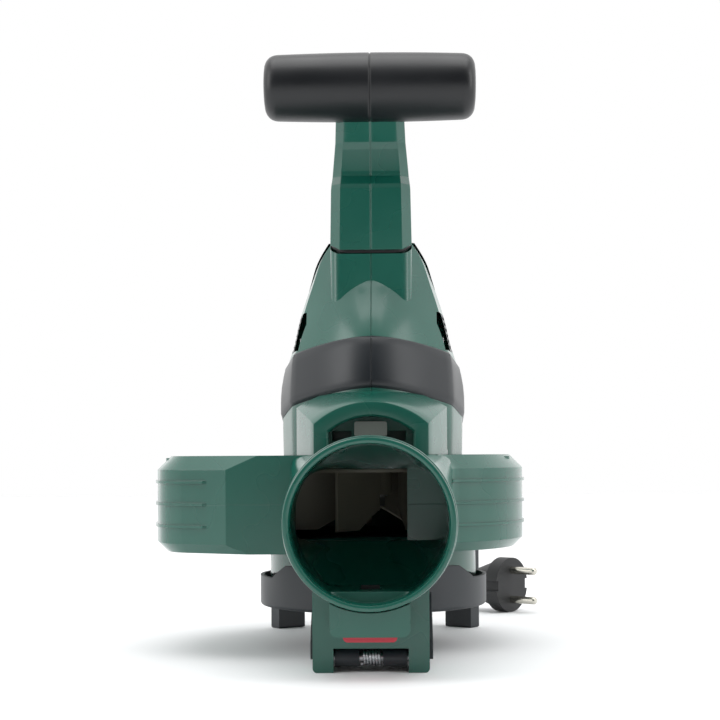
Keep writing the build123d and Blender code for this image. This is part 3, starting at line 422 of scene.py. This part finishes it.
def bandSurface():
    # outwards from the bell: a flat face between two rounded edges that turn back into it
    low = slantedLevel(bell["bandLow"] - band["overlap"])
    high = slantedLevel(bell["bandHigh"] + band["overlap"])
    share = np.array([0, 0.02, 0.06, 0.1, 0.2, 0.4, 0.6, 0.8, 0.95, 0.98, 1.0])
    out = np.array([-1.6, 0.1, 0.75, 1.2, 1.25, 1.25, 1.25, 1.25, 1.2, 0.7, -1.6])
    z = low[None, :] + share[:, None] * (high - low)[None, :]
    loops = bellPoints(bell["rows"], z)
    return seamed(pushed(loops, np.repeat(out[:, None], z.shape[1], axis=1)), band["seam"])


bandRing = skin("bandRing", bandSurface(), "dark_shell", "housing", caps=False, sharpAngle=40)
walled(bandRing, band["wall"])
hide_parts("band_left", "band_right")
print("band made")


def coverSurface():
    low = slantedLevel(bell["bandHigh"] - 2.5)
    share = np.concatenate([[0, 0.02], np.linspace(0.06, 0.94, 24), [0.97, 1.0]])
    top = bell["rows"][-1][0]
    z = low[None, :] + share[:, None] * (top - low)[None, :]
    loops = seamed(bellPoints(bell["rows"], z))
    middle = loops[-1:].mean(axis=1, keepdims=True)
    rings = [middle + (loops[-1:] - middle) * (k, k, 1) + (0, 0, h)
             for k, h in ((0.95, 0.2), (0.6, 0.4), (0.1, 0.5))]
    return np.concatenate([loops] + rings)


housingCover = skin("housingCover", coverSurface(), "green_shell", "housing")
cutBy(housingCover, [
    ((-22.5, -60, 204), (22.5, 31, 240)),
    ((35, -16, 159.2), (70, 16, 180)), ((-70, -16, 159.2), (-35, 16, 180))])
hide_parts("motor_housing_left", "motor_housing_right")

louvre = {"rows": 6, "low": 159.4, "high": 179.8, "front": -3.0, "reach": 15.9,
          "slot": 1.7, "slotFront": -0.5, "slotReach": 13.4}
louvrePanels = skin("louvrePanels", coverSurface(), "dark_shell", "housing")
cutBy(louvrePanels, [
    ((36, louvre["front"], louvre["low"]), (70, louvre["reach"], louvre["high"])),
    ((-70, louvre["front"], louvre["low"]), (-36, louvre["reach"], louvre["high"]))], "INTERSECT")
pitch = (louvre["high"] - louvre["low"] - 1.4) / louvre["rows"]
slotLevels = [louvre["low"] + 1.6 + pitch * k for k in range(louvre["rows"])]
slotBoxes = [((-70, louvre["slotFront"], z), (70, louvre["slotReach"], z + louvre["slot"]))
             for z in slotLevels]
cutBy(louvrePanels, slotBoxes)
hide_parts("side_louvres")

neck = {"half": 21.8, "front": -24.6, "rear": 20.0, "corner": 6.0, "low": 180.0, "drum": 37.0}


def neckLoops():
    # a rounded post whose top follows the drum
    c = neck["corner"]
    turn = np.radians(np.linspace(-90, 0, 10))
    x0, y0, y1 = neck["half"] - c, neck["front"] + c, neck["rear"] - c
    front = np.column_stack([np.array([0, 0.35, 6, x0 - 4]), np.full(4, neck["front"])])
    first = np.column_stack([x0 + c * np.cos(turn), y0 + c * np.sin(turn)])
    side = np.column_stack([np.full(18, neck["half"]), np.linspace(y0, y1, 20)[1:-1]])
    second = np.column_stack([x0 - c * np.sin(turn), y1 + c * np.cos(turn)])
    rear = np.column_stack([np.array([x0 - 4, 6, 0.35, 0]), np.full(4, neck["rear"])])
    right = np.concatenate([front, first, side, second, rear])
    loop = np.concatenate([right, right[1:-1][::-1] * (-1, 1)])
    top = stem["pivot"][1] + np.sqrt(neck["drum"] ** 2 - (loop[:, 1] - stem["pivot"][0]) ** 2)
    share = np.array([0, 0.5, 0.97, 1.0])[:, None]
    z = neck["low"] + share * (top - neck["low"])
    return seamed(np.stack([np.tile(loop[:, 0], (4, 1)), np.tile(loop[:, 1], (4, 1)), z], axis=-1))


neckPost = skin("neckPost", neckLoops(), "green_shell", "housing", caps=False)
print("housing made")


def beltSurface():
    high = slantedLevel(bell["bandLow"] + 1.5)
    share = np.linspace(0, 1, 14)
    z = 103.0 + share[:, None] * (high - 103.0)[None, :]
    return seamed(bellPoints(bell["rows"], z))


belt = skin("greenBelt", beltSurface(), "green_shell", "housing")
cutBy(belt, [((-29, -80, 90), (29, -40, 128)),
             ((34.9, -70, 110.5), (36.1, -24, 119)), ((-36.1, -70, 110.5), (-34.9, -24, 119))])
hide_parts("hood_left", "hood_right")

visor = {"half": 29.4, "side": 119.0, "top": 130.5, "front": -67.8, "inner": 21.5, "innerSide": 114.5,
         "innerTop": 122.5, "back": -57.0, "rearHalf": 39.5, "rearSide": 128.0, "rearTop": 139.5}


def archLine(half, side, top, y, steps=40):
    # up one side, over a flat arc and down the other
    share = np.linspace(0, 1, 9)[:-1]
    rise = top - side
    radius = (half**2 + rise**2) / (2 * rise)
    reach = math.asin(half / radius)
    turn = np.linspace(-reach, reach, steps)
    arc = np.column_stack([radius * np.sin(turn), top - radius + radius * np.cos(turn)])
    left = np.column_stack([np.full(8, -half), 103.0 + share * (side - 103.0)])
    line = np.concatenate([left, arc, left[::-1] * (-1, 1)])
    return np.column_stack([line[:, 0], np.full(len(line), y), line[:, 1]])


def visorLoops():
    v = visor
    return np.array([
        archLine(v["rearHalf"], v["rearSide"], v["rearTop"], -34), archLine(35.5, 124.8, 136.6, -48),
        archLine(31.2, 121.0, 132.6, -61),
        archLine(v["half"] + 0.2, v["side"] + 0.3, v["top"] + 0.2, v["front"] + 1.6),
        archLine(v["half"] - 0.5, v["side"] - 0.4, v["top"] - 0.6, v["front"] + 0.3),
        archLine(v["half"] - 1.6, v["side"] - 1.2, v["top"] - 1.8, v["front"]),
        archLine(v["inner"] + 0.9, v["innerSide"] + 0.5, v["innerTop"] + 0.9, v["front"] + 0.4),
        archLine(v["inner"], v["innerSide"], v["innerTop"], v["front"] + 1.4),
        archLine(v["inner"], v["innerSide"], v["innerTop"], v["back"]),
        archLine(0.5, 103.4, 103.8, v["back"])])


def openSkin(name, rows, slot, body):
    # a surface through open lines
    count, columns = rows.shape[:2]
    index = np.arange(count * columns).reshape(count, columns)
    quads = np.stack([index[:-1, :-1], index[1:, :-1], index[1:, 1:], index[:-1, 1:]], axis=-1).reshape(-1, 4)
    return buildMesh(name, rows.reshape(-1, 3), quads.tolist(), slot, body)


visorShell = openSkin("visorShell", visorLoops(), "green_shell", "housing")
cutBy(walled(visorShell, 1.2), [
    ((-20, -60, 110.3), (-10, -50, 115.3)), ((7.6, -60, 110.3), (17.6, -50, 115.3))])
print("belt and visor made")


tube = {"axisZ": 71.8, "outer": 40.35, "bore": 36.3, "inner": 36.8, "rim": -148.0, "flat": 40.5,
        "round": -100.6, "back": -71.0, "duct": (40.35, 53.4, 103.0),
        "ductInner": (37.95, 60.3, 96.1), "facets": 144}


def tubeSurface():
    # closed profile turned about the outlet axis; behind the round part it changes into the
    # case's square duct
    o, b, rim = tube["outer"], tube["bore"], tube["rim"]
    turn = np.linspace(0, 2 * np.pi, tube["facets"] + 1)[:-1]
    outside = [
        (b + 0.4, rim + 0.3), (b + 1.1, rim), (o - 2.0, rim), (o - 1.2, rim + 0.3),
        (o - 0.9, rim + 1.0), (o - 0.9, rim + 6.0), (o - 1.1, rim + 6.5), (o - 2.1, rim + 6.8),
        (o - 2.1, rim + 9.0), (o - 1.0, rim + 9.4), (o - 0.2, rim + 9.8),
        (o, rim + 10.5), (o, rim + 24), (o, tube["round"])]
    inside = [(tube["inner"], rim + 14.2), (tube["inner"], rim + 12.5), (b, rim + 12.0), (b, rim + 1.2)]

    def ring(radius, y, flat=None):
        z = tube["axisZ"] + radius * np.sin(turn)
        z = z if flat is None else np.maximum(z, flat)
        return np.column_stack([radius * np.cos(turn), np.full(len(turn), y), z])

    def duct(size, y):
        half, low, high = size
        tall = (high - low) / 2
        reach = ((np.abs(np.cos(turn)) / half) ** 12 + (np.abs(np.sin(turn)) / tall) ** 12) ** (-1 / 12)
        z = (low + high) / 2 + reach * np.sin(turn)
        return np.column_stack([reach * np.cos(turn), np.full(len(turn), y), z])

    def between(first, last, share):
        return first + (last - first) * np.asarray(share)[:, None, None]

    innerRound = ring(tube["inner"], tube["round"], tube["flat"])
    share = np.linspace(0, 1, 10)
    rows = [between(duct(tube["ductInner"], tube["back"]), innerRound, share)]
    rows.append(np.array([ring(r, y, tube["flat"]) for r, y in inside[:2]]))
    rows.append(np.array([ring(r, y) for r, y in inside[2:] + outside]))
    rows.append(between(ring(o, tube["round"]), duct(tube["duct"], tube["back"]), share[1:]))
    return np.concatenate(rows)


outletTube = skin("outletTube", tubeSurface(), "green_shell", "housing", closeRows=True, sharpAngle=38)
cutBy(outletTube, [((-5.5, -121.8, 30), (5.5, -113.9, 50))])
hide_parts("outlet_tube")
print("outlet made")

# floor and light
floorSettings = {"colour": "#f4f5f6", "size": 6.0}
floorMesh = bpy.data.meshes.new("studioFloor")
half = floorSettings["size"] / 2
floorCorners = [(-half, -half, 0), (half, -half, 0), (half, half, 0), (-half, half, 0)]
floorMesh.from_pydata(floorCorners, [], [(0, 1, 2, 3)])
floor = bpy.data.objects.new("studioFloor", floorMesh)
paper = mouldedFinish("mattPaper", floorSettings["colour"], floorSettings["colour"], 0.8, 2.0, 0.01)
floorMesh.materials.append(paper)
bpy.context.scene.collection.objects.link(floor)

world = bpy.data.worlds.new("studioWorld")
bpy.context.scene.world = world
world.use_nodes = True
# seen directly the world is plain white; as light it is weaker from the front, for darker reflections
surround = {"behindCamera": 0.12, "sides": 1.25}
sky = world.node_tree
background = sky.nodes["Background"]
background.inputs["Color"].default_value = (1.0, 1.0, 1.0, 1.0)
direction = addNode(sky, "ShaderNodeTexCoord").outputs["Generated"]
depth = addNode(sky, "ShaderNodeSeparateXYZ", [("Vector", direction)]).outputs["Y"]
fall = addNode(sky, "ShaderNodeMapRange", [("Value", depth)], interpolation_type="SMOOTHSTEP")
fall.inputs["From Min"].default_value, fall.inputs["From Max"].default_value = -0.95, -0.25
fall.inputs["To Min"].default_value = surround["behindCamera"]
fall.inputs["To Max"].default_value = surround["sides"]
seen = addNode(sky, "ShaderNodeLightPath").outputs["Is Camera Ray"]
plain = addNode(sky, "ShaderNodeMix", [("Factor", seen), ("A", fall.outputs["Result"])], B=1.0)
sky.links.new(plain.outputs["Result"], background.inputs["Strength"])


def softLight(name, place, aim, size, power):
    data = bpy.data.lights.new(name, "AREA")
    data.shape, data.size, data.size_y, data.energy = "RECTANGLE", size[0], size[1], power
    lamp = bpy.data.objects.new(name, data)
    lamp.location = place
    direction = np.array(place) - np.array(aim)
    yaw = math.atan2(direction[0], -direction[1])
    pitch = math.atan2(math.hypot(direction[0], direction[1]), direction[2])
    lamp.rotation_euler = (pitch, 0, yaw)
    bpy.context.scene.collection.objects.link(lamp)


softLight("topLight", (0.0, -0.1, 1.4), (0, 0, 0.1), (1.3, 1.0), 8)
softLight("leftLight", (-1.2, -0.5, 0.7), (0, 0, 0.15), (0.5, 1.0), 4)
softLight("rightLight", (1.2, -0.4, 0.6), (0, 0, 0.15), (0.5, 1.0), 3)
print("light set")
